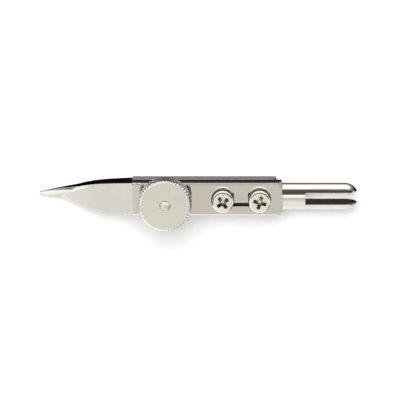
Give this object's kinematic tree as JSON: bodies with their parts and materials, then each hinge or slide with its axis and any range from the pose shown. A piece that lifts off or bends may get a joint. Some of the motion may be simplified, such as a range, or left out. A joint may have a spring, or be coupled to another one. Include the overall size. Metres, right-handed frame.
{
  "type": "divot repair tool",
  "caption": "Pocket divot tool: a split metal handle with a tapering spike blade at one end, a two-tine fork at the other, a knurled thumb nut and cross-recess screws.",
  "frame": {"origin": "on the plane that the tool lies on, under the middle of its overall length, on its centreline", "axes": "+X along the tool from spike to fork, +Y across it, +Z out of its front face, the way the thumb nut and screw heads stand"},
  "size_m": [0.0953, 0.016, 0.0164],
  "materials": {
    "polished_nickel": "mirror-polished nickel plate, slightly warm",
    "knurled_nickel": "nickel plate with a fine satin face and a diamond knurl",
    "bright_steel": "bright machined steel",
    "spring_bronze": "rolled phosphor bronze strip"
  },
  "bodies": {
    "handle": {"front_housing": "polished_nickel", "back_plate": "polished_nickel", "dowel_pin_spike_end": "bright_steel", "dowel_pin_fork_end": "bright_steel", "tang_leaf_spring": "spring_bronze", "fork": "polished_nickel", "clamp_stud": "bright_steel", "left_screw": "polished_nickel", "right_screw": "polished_nickel", "left_lock_washer": "bright_steel", "right_lock_washer": "bright_steel"},
    "blade": {"spike_blade": "polished_nickel"},
    "washer": {"swivel_washer": "bright_steel"},
    "nut": {"thumb_nut": "knurled_nickel"}
  },
  "joints": [
    {"name": "blade_slide", "type": "slide", "parent": "handle", "child": "blade", "axis": [-1, 0, 0], "range_m": [0, 0.008]},
    {"name": "nut_lift", "type": "slide", "parent": "handle", "child": "washer", "axis": [0, 0, 1], "range_m": [0, 0.00101]},
    {"name": "nut_turn", "type": "hinge", "parent": "washer", "child": "nut", "pos_m": [-0.0098, 0, 0.0138], "axis": [0, 0, 1], "range_deg": [0, 720]}
  ],
  "couplings": [
    {"joint": "nut_lift", "follows": "nut_turn", "m_per_rad": 0.000079577}
  ]
}
